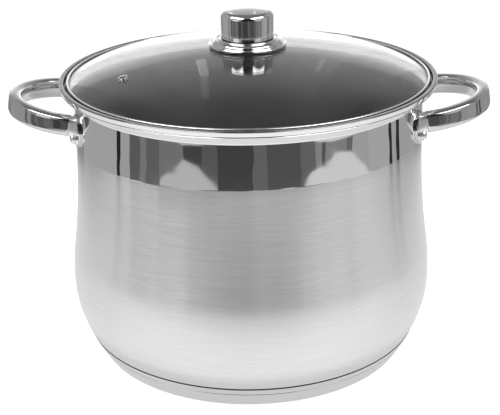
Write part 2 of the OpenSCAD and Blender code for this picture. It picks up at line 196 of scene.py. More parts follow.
# Lengths and swellings of the stub on its way to the pot
stub_steps = [(1.5 * MM, 1.0), (2 * MM, 1.0), (2.5 * MM, 1.12), (3 * MM, 1.05)]
leaf_z = pot_h - 31.2 * MM
leaf_h = 27 * MM
leaf_w = 19 * MM
leaf_t = 2 * MM
leaf_edge = 0.5 * MM
leaf_tool = 40 * MM
leaf_turn = math.degrees(math.asin(loop_r / neck_r))
leg_x = math.sqrt(neck_r ** 2 - (loop_r - bar_w / 2) ** 2) + leg_stand + leaf_t
leaf_gap = 0.05 * MM
weld_r = 2.2 * MM
weld_t = 0.25 * MM
weld_line = 0.1 * MM
weld_pitch = 11.3 * MM
nugget_r = 6 * MM
nugget_h = 4.8 * MM
nugget_z = 193.6 * MM
nugget_sink = 0.2 * MM


# Materials

class Value:
    """A socket of a material, with arithmetic that adds Math nodes."""

    def __init__(self, finish, socket):
        self.finish = finish
        self.socket = socket

    def maths(self, operation, first, second):
        return self.finish.node("ShaderNodeMath", {"operation": operation}, {0: first, 1: second})

    def __add__(self, other):
        return self.maths("ADD", self, other)

    def __radd__(self, other):
        return self.maths("ADD", other, self)

    def __sub__(self, other):
        return self.maths("SUBTRACT", self, other)

    def __rsub__(self, other):
        return self.maths("SUBTRACT", other, self)

    def __mul__(self, other):
        return self.maths("MULTIPLY", self, other)

    def __rmul__(self, other):
        return self.maths("MULTIPLY", other, self)


class Finish:
    """A material, or the world, whose nodes are added one at a time."""

    def __init__(self, owner):
        owner.use_nodes = True
        self.owner = owner
        self.tree = owner.node_tree
        self.tree.nodes.clear()

    def node(self, kind, settings=None, inputs=None, output=0):
        made = self.tree.nodes.new(kind)
        for name, value in (settings or {}).items():
            if name == "stops":
                shape_ramp(made.color_ramp, value)
            else:
                setattr(made, name, value)
        for name, value in (inputs or {}).items():
            if isinstance(value, Value):
                self.tree.links.new(value.socket, made.inputs[name])
            else:
                made.inputs[name].default_value = value
        return Value(self, made.outputs[output]) if made.outputs else None

    def object_place(self):
        place = self.node("ShaderNodeTexCoord", output="Object")
        split = self.node("ShaderNodeSeparateXYZ", inputs={0: place})
        outputs = split.socket.node.outputs
        return [Value(self, outputs[axis]) for axis in "XYZ"]

    def step(self, value, low, high):
        """0 below low, 1 above high, and smooth between them."""
        return self.node(
            "ShaderNodeMapRange",
            {"interpolation_type": "SMOOTHSTEP"},
            {"Value": value, "From Min": low, "From Max": high},
        )

    def noise(self, vector, scale, detail=2.0, roughness=0.5):
        return self.node(
            "ShaderNodeTexNoise",
            {"noise_dimensions": "3D"},
            {"Vector": vector, "Scale": scale, "Detail": detail, "Roughness": roughness},
        )

    def vector(self, x, y, z):
        return self.node("ShaderNodeCombineXYZ", inputs={0: x, 1: y, 2: z})

    def grey(self, value, tint=(1.0, 1.0, 1.0)):
        """A colour from one value, times a tint."""
        return self.node(
            "ShaderNodeCombineColor", inputs={0: value * tint[0], 1: value * tint[1], 2: value * tint[2]}
        )

    def finish(self, shader):
        self.node("ShaderNodeOutputMaterial", inputs={"Surface": shader})
        return self.owner


def shape_ramp(ramp, stops):
    ramp.elements[0].position = stops[0][0]
    ramp.elements[0].color = stops[0][1]
    ramp.elements[1].position = stops[-1][0]
    ramp.elements[1].color = stops[-1][1]
    for place, colour in stops[1:-1]:
        ramp.elements.new(place).color = colour


def new_finish(name):
    return Finish(bpy.data.materials.new(name))


def turned_lines(finish, across, along):
    """Fine lines round the Z axis: noise that is drawn out round the piece and tight along its height."""
    x, y, z = finish.object_place()
    place = finish.vector(x * along, y * along, z * across)
    return finish.noise(place, 1.0, 3.0, 0.6)


def brushed_steel(name, boundary, satin, polish, satin_shade, polish_shade, depth, drawn, painted_shade_bands=(), lean=0.0):
    """Steel brushed round the Z axis below a boundary, and mirror polished above it.

    satin and polish are the two roughnesses, depth is how strong the brush lines are, drawn is how far they
    draw out a reflection, painted_shade_bands lists bands of painted shade as (low, high, share), and lean
    tilts the boundary.
    """
    finish = new_finish(name)
    x, y, z = finish.object_place()
    level = z - x * lean
    polished = finish.step(level, boundary - polish_blend, boundary + polish_blend)
    brushed = 1 - polished
    fine = turned_lines(finish, *fine_lines)
    broad = turned_lines(finish, *broad_lines)
    cloud = finish.noise(finish.vector(x, y, z), 16, 2.0)
    lines = ((fine - 0.5) * 0.6 + (broad - 0.5) * 0.1) * depth
    worn = finish.step(level, boundary - worn_h, boundary) * 0.3
    satin_rough = satin * (1 - worn) + lines * 0.12 + (cloud - 0.5) * 0.04
    rough = brushed * satin_rough + polished * (polish + cloud * 0.02)
    tone = brushed * (satin_shade + lines * 0.3 + (cloud - 0.5) * 0.05) + polished * polish_shade
    # Painted shade: each band darkens the tone between two heights, down to its share
    for low, high, share in painted_shade_bands:
        above_low = finish.step(z, low - painted_shade_blend, low + painted_shade_blend)
        above_high = finish.step(z, high - painted_shade_blend, high + painted_shade_blend)
        tone = tone * (1 - (above_low - above_high) * (1 - share))
    wave = finish.noise(finish.vector(x, y, z), 70, 0.0)
    height = brushed * (fine * 0.85 + broad * 0.15) * (0.05 * depth) + polished * (wave - 0.5) * 1.1
    bump = finish.node("ShaderNodeBump", inputs={"Height": height, "Strength": 1.0, "Distance": 0.1 * MM})
    shader = finish.node(
        "ShaderNodeBsdfPrincipled",
        inputs={
            "Base Color": finish.grey(tone),
            "Metallic": 1.0,
            "Roughness": rough,
            "Anisotropic": drawn,
            "Anisotropic Rotation": 0.25,
            "Normal": bump,
        },
    )
    return finish.finish(shader)


def bright_metal(name, colour, rough, wear):
    """Polished metal with a faint cloud of rubbing marks."""
    finish = new_finish(name)
    x, y, z = finish.object_place()
    place = finish.vector(x, y, z)
    cloud = finish.noise(place, 60, 3.0)
    marks = finish.noise(finish.vector(x * 3.0, y, z), 900, 2.0, 0.6)
    tone = 1 + (cloud - 0.5) * wear
    roughness = rough + (cloud - 0.5) * (wear * 0.3) + (marks - 0.5) * (wear * 0.15)
    bump = finish.node("ShaderNodeBump", inputs={"Height": marks, "Strength": 0.02, "Distance": 0.05 * MM})
    shader = finish.node(
        "ShaderNodeBsdfPrincipled",
        inputs={
            "Base Color": finish.grey(tone, colour),
            "Metallic": 1.0,
            "Roughness": roughness,
            "Normal": bump,
        },
    )
    return finish.finish(shader)


def clear_glass():
    finish = new_finish("lid_glass_clear")
    x, y, z = finish.object_place()
    smear = finish.noise(finish.vector(x, y, z), 25, 3.0)
    rough = finish.step(smear, 0.45, 0.8) * 0.02
    shader = finish.node(
        "ShaderNodeBsdfPrincipled",
        inputs={
            "Base Color": (0.97, 0.985, 0.98, 1.0),
            "Roughness": rough,
            "IOR": 1.5,
            "Transmission Weight": 1.0,
        },
    )
    return finish.finish(shader)


def moulded(name, colour, rough, grain):
    """Moulded silicone or plastic with a fine grain."""
    finish = new_finish(name)
    x, y, z = finish.object_place()
    place = finish.vector(x, y, z)
    speck = finish.noise(place, grain, 3.0)
    cloud = finish.noise(place, 90, 2.0)
    tone = 1 + (cloud - 0.5) * 0.12
    bump = finish.node("ShaderNodeBump", inputs={"Height": speck, "Strength": 0.15, "Distance": 0.05 * MM})
    shader = finish.node(
        "ShaderNodeBsdfPrincipled",
        inputs={
            "Base Color": finish.grey(tone, colour),
            "Roughness": rough + (speck - 0.5) * 0.12,
            "Normal": bump,
        },
    )
    return finish.finish(shader)


body_steel = brushed_steel(
    "pot_outside_steel", boundary=polish_z, satin=0.23, polish=0.03, satin_shade=0.72, polish_shade=0.78,
    depth=1.0, drawn=0.88, lean=polish_lean,
    # Painted shade: the wall below the seam, seen in the gap over the base cap, and the flat top of the lip,
    # in the gap under the lid band, are darkened
    painted_shade_bands=[(0, seam_z - painted_shade_blend, 0.08), (pot_h - lip_flat, pot_h + lip_edge, 0.28)],
)
# Painted shade: the inside is the outside's steel made darker (satin 0.5 against 0.72) for the shade inside
# the pot, and its top band under the rim is darker still for the gap under the lid band
inside_steel = brushed_steel(
    "pot_inside_steel", boundary=flare_z, satin=0.32, polish=0.05, satin_shade=0.5, polish_shade=0.78,
    depth=0.25, drawn=0.92, painted_shade_bands=[(pot_h - inner_rim, pot_h + lip_edge, 0.32)],
)
base_steel = brushed_steel(
    "base_cap_steel", boundary=1.0, satin=0.26, polish=0.05, satin_shade=0.72, polish_shade=0.72,
    depth=1.0, drawn=0.75,
)
chrome = bright_metal("polished_knob_steel", (0.74, 0.74, 0.73), 0.05, 0.05)
band_steel = bright_metal("lid_band_steel", (0.9, 0.9, 0.89), 0.24, 0.06)
handle_steel = bright_metal("handle_polished_steel", (0.62, 0.62, 0.61), 0.1, 0.1)
weld_steel = bright_metal("welded_mount_steel", (0.84, 0.84, 0.83), 0.34, 0.12)
fastener_steel = bright_metal("fastener_plain_steel", (0.55, 0.55, 0.54), 0.28, 0.2)
wire_steel = bright_metal("rack_bright_wire", (0.66, 0.66, 0.65), 0.18, 0.14)
spreader_metal = bright_metal("spreader_plain_aluminium", (0.72, 0.72, 0.73), 0.38, 0.2)
glass = clear_glass()
core_plastic = moulded("knob_core_plastic", (0.05, 0.05, 0.05), 0.5, 900)
gasket_rubber = moulded("gasket_silicone", (0.82, 0.82, 0.8), 0.55, 700)


# Modelling helpers

def begin(name, at):
    """Starts a piece as one point, in edit mode."""
    bpy.ops.object.select_all(action="DESELECT")
    bpy.ops.mesh.primitive_plane_add(size=1 * MM, location=(0, 0, 0))
    piece = bpy.context.object
    piece.name = name
    piece.data.name = name
    bpy.ops.object.mode_set(mode="EDIT")
    bpy.ops.mesh.select_all(action="SELECT")
    bpy.ops.mesh.merge(type="CENTER")
    bpy.ops.transform.translate(value=at)
    return piece


def draw(points):
    """Extrudes the point that begin made along an outline."""
    for here, there in zip(points, points[1:]):
        bpy.ops.mesh.extrude_vertices_move(TRANSFORM_OT_translate={"value": there - here})


def closed(outline):
    return outline + outline[:1]


def ring(name, points):
    """Starts a piece as a closed loop of points, all of it selected."""
    piece = begin(name, points[0])
    draw(closed(points))
    bpy.ops.mesh.select_all(action="SELECT")
    bpy.ops.mesh.remove_doubles(threshold=0.01 * MM)
    bpy.ops.mesh.select_all(action="SELECT")
    return piece


def clean():
    bpy.ops.mesh.select_all(action="SELECT")
    bpy.ops.mesh.remove_doubles(threshold=0.001 * MM)
    bpy.ops.mesh.normals_make_consistent(inside=False)


def leave_edit(piece, angle=35):
    bpy.ops.object.mode_set(mode="OBJECT")
    bpy.ops.object.shade_smooth_by_angle(angle=math.radians(angle))
    return piece


def settle(piece, angle=35):
    """Puts a piece's place into its mesh, and smooths it."""
    bpy.ops.object.select_all(action="DESELECT")
    piece.select_set(True)
    bpy.context.view_layer.objects.active = piece
    bpy.ops.object.transform_apply(location=True, rotation=True, scale=True)
    bpy.ops.object.mode_set(mode="EDIT")
    clean()
    return leave_edit(piece, angle)


def arc(x, z, radius, start, end, steps):
    """Points of an arc in an outline, from one angle to another in degrees."""
    turns = [math.radians(start + (end - start) * i / steps) for i in range(steps + 1)]
    return [(x + radius * math.cos(a), z + radius * math.sin(a)) for a in turns]


def lathe(name, outline, steps=LATHE_STEPS, angle=35):
    """Turns an outline of (radius, height) points round the Z axis."""
    points = [Vector((x, 0, z)) for x, z in outline]
    piece = begin(name, points[0])
    draw(points)
    bpy.ops.mesh.select_all(action="SELECT")
    bpy.ops.mesh.spin(steps=steps, angle=2 * math.pi, center=(0, 0, 0), axis=(0, 0, 1))
    clean()
    return leave_edit(piece, angle)


def copy_of(piece, name):
    """A copy with its own mesh."""
    made = piece.copy()
    made.data = piece.data.copy()
    made.name = name
    made.data.name = name
    bpy.context.collection.objects.link(made)
    return made


def mirrored(piece, name):
    made = copy_of(piece, name)
    made.scale.x = -1
    return settle(made)


def joined(pieces, name):
    bpy.ops.object.select_all(action="DESELECT")
    for piece in pieces:
        piece.select_set(True)
    bpy.context.view_layer.objects.active = pieces[0]
    bpy.ops.object.join()
    pieces[0].name = name
    pieces[0].data.name = name
    return pieces[0]


def apply_modifier(piece, kind, **settings):
    modifier = piece.modifiers.new(kind.lower(), kind)
    for name, value in settings.items():
        setattr(modifier, name, value)
    bpy.ops.object.select_all(action="DESELECT")
    piece.select_set(True)
    bpy.context.view_layer.objects.active = piece
    bpy.ops.object.modifier_apply(modifier=modifier.name)


def cut_with(piece, tool, operation):
    apply_modifier(piece, "BOOLEAN", object=tool, operation=operation, solver="EXACT")


def remove(piece):
    bpy.data.objects.remove(piece)


def dress(piece, material, slot, body, *nodes):
    """Gives a piece its finish and its body, and hides the nodes that it stands for."""
    if material:
        piece.data.materials.clear()
        piece.data.materials.append(material)
    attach(piece, body)
    if nodes:
        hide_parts(*nodes)


# Pot

def side_outline(inset, low_turn, high_turn, steps):
    """Side of the pot at an inward offset, from the seam to the end of the flare."""
    lower = arc(belly_r - lower_r, belly_z, lower_r - inset, -low_turn, 0, steps)
    shoulder = arc(belly_r - shoulder_r, belly_z, shoulder_r - inset, 0, side_turn, steps)
    waist = arc(neck_r + waist_r, neck_z, waist_r + inset, 180 + side_turn, 180, steps)
    neck = [(neck_r - inset, neck_z + (bend_z - neck_z) * part) for part in (0.25, 0.5, 0.75, 0.9)]
    bend = arc(neck_r + bend_r, bend_z, bend_r + inset, 180, 135, 6)
    flare = arc(flare_x, flare_z, flare_r + inset, 135, 180 - high_turn, steps // 2)
    return lower + shoulder[1:] + waist[1:] + neck + bend + flare


def make_pot_wall():
    outside = [(0, floor_out)] + arc(corner_x, corner_z, corner_r, -90, -seam_turn, 10)
    outside += side_outline(0, seam_turn, flare_turn, 12)
    crease_r = lip_r - lip_slant
    crease_z = pot_h - lip_h + lip_round
    outside += [
        (crease_r - out * crease_depth, crease_z + up * crease_depth)
        for out, up in ((0.2, -1.0), (1.0, -0.3), (0.1, 0.6))
    ]
    outside += arc(lip_r - lip_edge, pot_h - lip_edge, lip_edge, -lip_lean, 90, 6)
    outside += arc(lip_in_r + lip_edge, pot_h - lip_edge, lip_edge, 90, 180, 4)
    low_turn = math.degrees(math.asin((belly_z - seam_z - 2 * wall) / lower_r))
    inside = side_outline(wall, low_turn, lip_in_turn, 12)[::-1]
    inside += arc(corner_x, corner_z, corner_r - wall, -90, -seam_turn, 10)[::-1] + [(0, floor_z)]
    piece = lathe("pot_wall", outside + inside)
    piece.data.materials.append(body_steel)
    piece.data.materials.append(inside_steel)
    bpy.ops.object.mode_set(mode="EDIT")
    bpy.ops.mesh.select_all(action="DESELECT")
    bpy.ops.object.mode_set(mode="OBJECT")
    for face in piece.data.polygons:
        outwards = face.normal.x * face.center.x + face.normal.y * face.center.y
        on_floor = face.normal.z > 0.9 and face.center.z < 2 * floor_z
        face.select = (outwards < 0 or on_floor) and face.center.z < pot_h - lip_edge
    bpy.ops.object.mode_set(mode="EDIT")
    piece.active_material_index = 1
    bpy.ops.object.material_slot_assign()
    bpy.ops.object.mode_set(mode="OBJECT")
    dress(piece, None, "brushed_steel", "pot", "pot_shell")


def make_base_cap():
    chord = math.hypot(base_taper, cap_top)
    rise = math.sqrt(base_side_r ** 2 - chord ** 2 / 4)
    middle_x = foot_r + base_taper / 2 - rise * cap_top / chord
    middle_z = cap_top / 2 + rise * base_taper / chord

    def side(inset, low, high, steps):
        turns = [math.degrees(math.asin((z - middle_z) / (base_side_r - inset))) for z in (low, high)]
        return arc(middle_x, middle_z, base_side_r - inset, turns[0], turns[1], steps)

    outside = [(0, 0), (foot_r - 2 * foot_round, 0)]
    outside += [(foot_r - 0.3 * foot_round, 0.25 * foot_round)]
    outside += side(0, foot_round, press_z - press_w, 8) + side(press_depth, press_z, press_z, 1)[:1]
    outside += side(0, press_z + press_w, cap_top - cap_edge, 6)
    outside += [(seam_r - cap_in, cap_top)]
    inside = side(base_wall, base_wall, cap_top, 8)[::-1] + [(0, base_wall)]
    piece = lathe("base_cup", outside + inside)
    dress(piece, base_steel, "brushed_steel", "pot", "base_cap")


# Handles: shaped for the right side and mirrored to the left

def bar_outline(inset):
    """Section of the handle bar as (outwards, up) points, from the foot of the outer face round the top.

    The foot is well rounded, the outer face is almost upright, the top is a little crowned, and the inner
    face has a fine groove under its rounded edge and draws in towards the foot.
    """
    half_w = bar_w / 2 - inset
    half_h = bar_h / 2 - inset
    foot = [(0.35, -1), (0.62, -0.95), (0.82, -0.84), (0.93, -0.68), (0.98, -0.5)]
    face = [(0.985, -0.2), (0.975, 0.1), (0.97, 0.4), (0.965, 0.62)]
    top = [(0.93, 0.74), (0.84, 0.83), (0.66, 0.91), (0.4, 0.97), (0.05, 1), (-0.3, 0.99)]
    edge = [(-0.6, 0.94), (-0.8, 0.84), (-0.92, 0.7), (-0.965, 0.56)]
    groove = [(-0.9, 0.49), (-0.91, 0.43)]
    inner = [(-0.98, 0.3), (-1, 0.1), (-0.97, -0.2), (-0.92, -0.48), (-0.83, -0.72), (-0.68, -0.9)]
    section = foot + face + top + edge + groove + inner + [(-0.42, -1)]
    return [(half_w * x, half_h * z) for x, z in section]


def make_handle():
    section = [Vector((0, -loop_r - x, z)) for x, z in bar_outline(0)]
    piece = ring("right_handle_loop", section)
    bpy.ops.mesh.spin(steps=48, angle=-math.pi, center=(0, 0, 0), axis=(0, 0, 1))
    bpy.ops.mesh.select_all(action="DESELECT")
    bpy.ops.object.mode_set(mode="OBJECT")
    for edge in piece.data.edges:
        ends = [piece.data.vertices[i].co for i in edge.vertices]
        edge.select = all(abs(end.x) < 0.01 * MM for end in ends)
    bpy.ops.object.mode_set(mode="EDIT")
    bpy.ops.mesh.extrude_region_move(TRANSFORM_OT_translate={"value": (-leg_l, 0, 0)})
    bpy.ops.mesh.edge_face_add()
    bpy.ops.mesh.bevel(offset=bar_end_round, segments=3, affect="EDGES")
    clean()
    bpy.ops.object.mode_set(mode="OBJECT")
    piece.location = (leg_x + leg_l * math.cos(math.radians(handle_tilt)), 0,
                      handle_z + leg_l * math.sin(math.radians(handle_tilt)))
    piece.rotation_euler.y = math.radians(-handle_tilt)
    return settle(piece)


def make_brackets():
    parts = []
    lobe_r = (leaf_h ** 2 / 4 + leaf_w ** 2 / 4) / leaf_w
    for side in (-1, 1):
        turn = Matrix.Rotation(math.radians(side * leaf_turn), 4, "Z")
        leaf = lathe("leaf", closed([
            (neck_r + leaf_gap, leaf_z - leaf_h), (neck_r + leaf_gap + leaf_t, leaf_z - leaf_h),
            (neck_r + leaf_gap + leaf_t, leaf_z + leaf_h), (neck_r + leaf_gap, leaf_z + leaf_h)]))
        for lobe in (-1, 1):
            bpy.ops.object.select_all(action="DESELECT")
            place = turn @ Vector((neck_r, lobe * (lobe_r - leaf_w / 2), leaf_z))
            bpy.ops.mesh.primitive_cylinder_add(
                vertices=160, radius=lobe_r, depth=leaf_tool, location=place,
                rotation=(0, math.radians(90), math.radians(side * leaf_turn)))
            tool = bpy.context.object
            cut_with(leaf, tool, "INTERSECT")
            remove(tool)
        apply_modifier(leaf, "BEVEL", width=leaf_edge, segments=3, limit_method="ANGLE")
        settle(leaf)
        leaf.data.materials.append(handle_steel)
        lumps = [make_stub(side), make_nugget(side)]
        for lump in lumps:
            lump.data.materials.append(weld_steel)
        parts += [leaf] + lumps
    return joined(parts, "right_handle_mounts")


def make_stub(side):
    section = [Vector((0, side * (loop_r + x), z)) for x, z in bar_outline(stub_inset)]
    stub = ring("stub", section)
    bpy.ops.mesh.edge_face_add()
    for length, size in stub_steps:
        bpy.ops.mesh.extrude_region_move(TRANSFORM_OT_translate={"value": (-length, 0, 0)})
        bpy.ops.transform.resize(value=(1, size, size), center_override=(0, side * loop_r, 0))
    clean()
    bpy.ops.object.mode_set(mode="OBJECT")
    stub.location = (leg_x, 0, handle_z)
    stub.rotation_euler.y = math.radians(-handle_tilt)
    settle(stub)
    tool = lathe("neck_tool", closed([
        (0, leaf_z - leaf_h), (neck_r + leaf_gap + leaf_t / 2, leaf_z - leaf_h),
        (neck_r + leaf_gap + leaf_t / 2, leaf_z + leaf_h), (0, leaf_z + leaf_h)]))
    cut_with(stub, tool, "DIFFERENCE")
    remove(tool)
    return settle(stub)


def make_nugget(side):
    """Weld bulge on a leaf, under the stub."""
    rings = [(0.45, 1.0), (0.62, 0.93), (0.7, 0.75), (0.66, 0.66), (0.84, 0.6), (0.86, 0.42), (0.8, 0.34)]
    rings += [(0.96, 0.28), (1.0, 0.1), (1.0, -0.1)]
    rings = [(0, 1.0)] + rings + [(0, -0.1)]
    nugget = lathe("nugget", [(out * nugget_r, up * nugget_h) for out, up in rings], steps=32)
    turn = math.radians(side * leaf_turn)
    reach = neck_r + leaf_gap + leaf_t - nugget_sink
    nugget.rotation_euler = (0, math.radians(90), turn)
    nugget.location = (reach * math.cos(turn), reach * math.sin(turn), nugget_z)
    return settle(nugget)


def make_weld_spots():
    dimple = [(0, 0.4), (0.5, 0.6), (0.7, 1.0), (0.9, 0.8), (1.0, 0.3), (1.0, 0), (0, 0)]
    reach = neck_r - wall - weld_line
    spots = []
    for side in (-1, 1):
        for up in (-1, 1):
            spot = lathe("weld_spot", [(out * weld_r, rise * weld_t) for out, rise in dimple], steps=24)
            turn = math.radians(side * leaf_turn)
            spot.rotation_euler = (0, math.radians(-90), turn)
            spot.location = (reach * math.cos(turn), reach * math.sin(turn), leaf_z + up * weld_pitch / 2)
            spots.append(settle(spot))
    return joined(spots, "right_weld_spots")


def make_handles():
    for make, name, node, material in (
        (make_handle, "left_handle_loop", "handle", handle_steel),
        (make_brackets, "left_handle_mounts", "handle_brackets", None),
        (make_weld_spots, "left_weld_spots", "spot_welds", handle_steel),
    ):
        right = make()
        left = mirrored(right, name)
        dress(right, material, "handle_steel", "pot", "right_" + node)
        dress(left, material, "handle_steel", "pot", "left_" + node)


# Lid

def make_lid_glass():
    outline = [(glass_hole_r, crown_z + math.sqrt(crown_r ** 2 - glass_hole_r ** 2))]
    outline += arc(0, crown_z, crown_r, 89, 90 - crown_turn, 20)
    outline += arc(edge_x, edge_z, edge_r, 90 - crown_turn, 90 - edge_turn, 12)[1:]
    outline += arc(edge_x, edge_z, edge_r - glass_t, 90 - edge_in_turn, 90 - crown_turn, 12)
    outline += arc(0, crown_z, crown_r - glass_t, 90 - crown_turn, 89, 20)[1:]
    outline += [(glass_hole_r, crown_z + math.sqrt((crown_r - glass_t) ** 2 - glass_hole_r ** 2))]
    piece = lathe("lid_dome", closed(outline))
    bpy.ops.object.select_all(action="DESELECT")
    bpy.ops.mesh.primitive_cylinder_add(vertices=32, radius=vent_hole_r, depth=6 * glass_t)
    tool = bpy.context.object
    tool.matrix_world = vent_frame()
    cut_with(piece, tool, "DIFFERENCE")
    remove(tool)
    leave_edit(piece)
    dress(piece, glass, "lid_glass", "lid", "lid_glass")


def vent_frame():
    return (Matrix.Translation((0, 0, crown_z)) @ Matrix.Rotation(math.radians(vent_turn), 4, "Z")
            @ Matrix.Rotation(math.radians(vent_lean), 4, "Y") @ Matrix.Translation((0, 0, crown_r)))


def make_vent():
    tube_r = vent_r + vent_wall
    rim_r = tube_r + vent_rim
    low = -glass_t - vent_fit
    outline = [(vent_r, low - vent_wall), (rim_r, low - vent_wall), (rim_r, low), (tube_r, low)]
    outline += [(tube_r, vent_fit), (rim_r, vent_fit)]
    outline += arc(rim_r - vent_rim_edge, vent_rise, vent_rim_edge, 0, 90, 4)
    outline += arc(vent_r + vent_bore_edge, vent_rise, vent_bore_edge, 90, 180, 5)
    piece = lathe("vent_eyelet", closed(outline), steps=48)
    piece.matrix_world = vent_frame()
    settle(piece)
    dress(piece, handle_steel, "polished_steel", "lid", "vent_grommet")


def make_lid_band():
    """Folded band under and round the edge of the glass, with a bead along its top."""
    foot_r = glass_r - band_foot
    wall_r = glass_r + glass_fit
    shoulder_z = glass_edge + glass_fit
    bead_x = wall_r - bead_in
    bead_z = shoulder_z + bead_rise
    outline = [(foot_r, band_z), (wall_r - band_edge, band_z), (wall_r + band_edge, band_z + band_edge)]
    outline += [(wall_r + band_lean, shoulder_z - 2 * band_edge)]
    outline += arc(bead_x, bead_z, bead_r, -25, 215, 16)
    outline += [(wall_r, shoulder_z), (wall_r, band_z + band_t), (foot_r, band_z + band_t)]
    piece = lathe("lid_rim", closed(outline))
    dress(piece, band_steel, "polished_steel", "lid", "lid_rim_band")


def make_knob():
    low_r = knob_r - knob_taper
    lean = math.degrees(math.atan(knob_taper / (knob_top - knob_z)))
    flat_r = knob_r - knob_round
    crown_arc = (flat_r ** 2 + knob_crown ** 2) / (2 * knob_crown)
    span = math.degrees(math.asin(flat_r / crown_arc))
    shoulder_z = knob_top - knob_crown - knob_round
    core_top = knob_top - knob_crown - knob_wall
    outline = [(low_r - knob_wall, knob_z), (low_r - knob_edge, knob_z), (low_r, knob_z + knob_edge)]
    outline += arc(flat_r, shoulder_z, knob_round, -lean, 90 - span, 10)
    outline += arc(0, knob_top - crown_arc, crown_arc, 90 - span, 90, 10)[1:]
    outline += [(0, core_top)]
    outline += arc(flat_r, core_top - knob_round + knob_wall, knob_round - knob_wall, 90, -lean, 8)
    piece = lathe("knob_shell", closed(outline), steps=128)
    dress(piece, chrome, "polished_steel", "lid", "knob_cap")


def make_knob_flange():
    """Pressed skirt under the knob: a collar bead, a swelling and a rolled rim."""
    edge_low = dome_z + flange_edge - flange_t
    inner_r = flange_r - 2 * flange_t
    under = flange_top - 2 * flange_t
    outline = [(screw_hole_r, dome_z + flange_t), (boss_r, dome_z + flange_t), (boss_r, under)]
    outline += [(collar_r - flange_t, under), (inner_r, edge_low + flange_t / 2)]
    outline += arc(skirt_r, edge_low + skirt_bead, skirt_bead, -90, 130, 12)
    outline += [(skirt_r - skirt_bead, edge_low + swell_z + swell_step)]
    outline += arc(swell_r, edge_low + swell_z, swell_bead, 10, 84, 10)
    outline += [(collar_r + hollow_out, flange_top - hollow_down)]
    outline += arc(collar_r, flange_top - collar_bead, collar_bead, -25, 90, 8)
    outline += [(screw_hole_r, flange_top)]
    piece = lathe("knob_skirt", closed(outline), steps=128, angle=40)
    dress(piece, chrome, "polished_steel", "lid", "knob_flange")


make_pot_wall()
make_base_cap()
make_handles()
make_lid_glass()
make_vent()
make_lid_band()
make_knob()
make_knob_flange()

# Pieces whose frame shape is right keep it, with a finish of their own
for node, material in {
    "heat_spreader": spreader_metal, "knob_core": core_plastic,
    "upper_gasket": gasket_rubber, "lower_gasket": gasket_rubber,
    "clamp_washer": fastener_steel, "spring_washer": fastener_steel, "knob_screw": fastener_steel,
    "rack_ring": wire_steel, "rack_bars": wire_steel, "rack_stays": wire_steel, "rack_feet": wire_steel,
    "rack_left_handle": wire_steel, "rack_right_handle": wire_steel,
}.items():
    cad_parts[node].data.materials.clear()
    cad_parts[node].data.materials.append(material)


# Camera at the photograph's viewing angle

camera_place = Vector((0, -0.9314, 0.4919))
camera_fall = 22.26
camera_roll = 0.95
camera_turn = 1.1
stage_turn = Matrix.Rotation(math.radians(camera_turn), 4, "Z")
bpy.ops.object.camera_add(location=(0, 0, 0))
camera = bpy.context.object
camera.matrix_world = (
    stage_turn
    @ Matrix.Translation(camera_place)
    @ Matrix.Rotation(math.radians(90 - camera_fall), 4, "X")
    @ Matrix.Rotation(math.radians(-camera_roll), 4, "Z")
)
camera.data.lens = 86.05
camera.data.sensor_width = 36
camera.data.shift_x = -0.0006
camera.data.shift_y = 0.006
bpy.context.scene.camera = camera


# Stage: pale floor, white surroundings, grey cards that only reflections see

floor_size = 30
floor_glow = 0.55
sky_dim = 0.45
card_lift = 0.3 * MM


def glow(name, shade, axis=2):
    """An even glow, or one that falls off along an axis by stops of (place, shade)."""
    finish = new_finish(name)
    if isinstance(shade, list):
        low = shade[0][0]
        span = shade[-1][0] - low
        place = (finish.object_place()[axis] - low) * (1 / span)
        stops = [((stop - low) / span, (grey, grey, grey, 1.0)) for stop, grey in shade]
        colour = finish.node("ShaderNodeValToRGB", {"stops": stops}, {"Fac": place})
    else:
        colour = (shade, shade, shade, 1.0)
    return finish.finish(finish.node("ShaderNodeEmission", inputs={"Color": colour, "Strength": 1.0}))


def card(name, points, shade, seen_through_glass=False, axis=2):
    """A card that only reflections show, or rays through the glass too."""
    piece = ring(name, [stage_turn @ Vector(p) for p in points])
    bpy.ops.mesh.edge_face_add()
    bpy.ops.object.mode_set(mode="OBJECT")
    piece.data.materials.append(glow(name, shade, axis))
    piece.visible_camera = False
    piece.visible_diffuse = False
    piece.visible_shadow = False
    piece.visible_transmission = seen_through_glass


def seen_white(finish):
    """Rays that show the background: straight, mirrored and through the glass."""
    path = finish.node("ShaderNodeLightPath").socket.node.outputs
    seen = Value(finish, path["Is Camera Ray"]) + Value(finish, path["Is Glossy Ray"])
    return seen + Value(finish, path["Is Transmission Ray"])


def make_floor():
    bpy.ops.object.select_all(action="DESELECT")
    bpy.ops.mesh.primitive_plane_add(size=floor_size)
    floor = bpy.context.object
    floor.name = "studio_floor"
    finish = new_finish("studio_floor_white")
    shader = finish.node(
        "ShaderNodeBsdfPrincipled",
        inputs={
            "Base Color": (0.9, 0.9, 0.9, 1.0), "Roughness": 1.0, "Specular IOR Level": 0.0,
            "Emission Color": (1.0, 1.0, 1.0, 1.0), "Emission Strength": seen_white(finish) * floor_glow,
        },
    )
    floor.data.materials.append(finish.finish(shader))


# The white table as reflections show it: direction from the front in degrees to the right, and reach
table_reach = [
    (-180, 1.2), (-145, 0.52), (-110, 0.5), (-90, 0.56), (-45, 0.59), (0, 0.572), (45, 0.59), (60, 0.59),
    (110, 0.52), (145, 0.54), (180, 1.2),
]
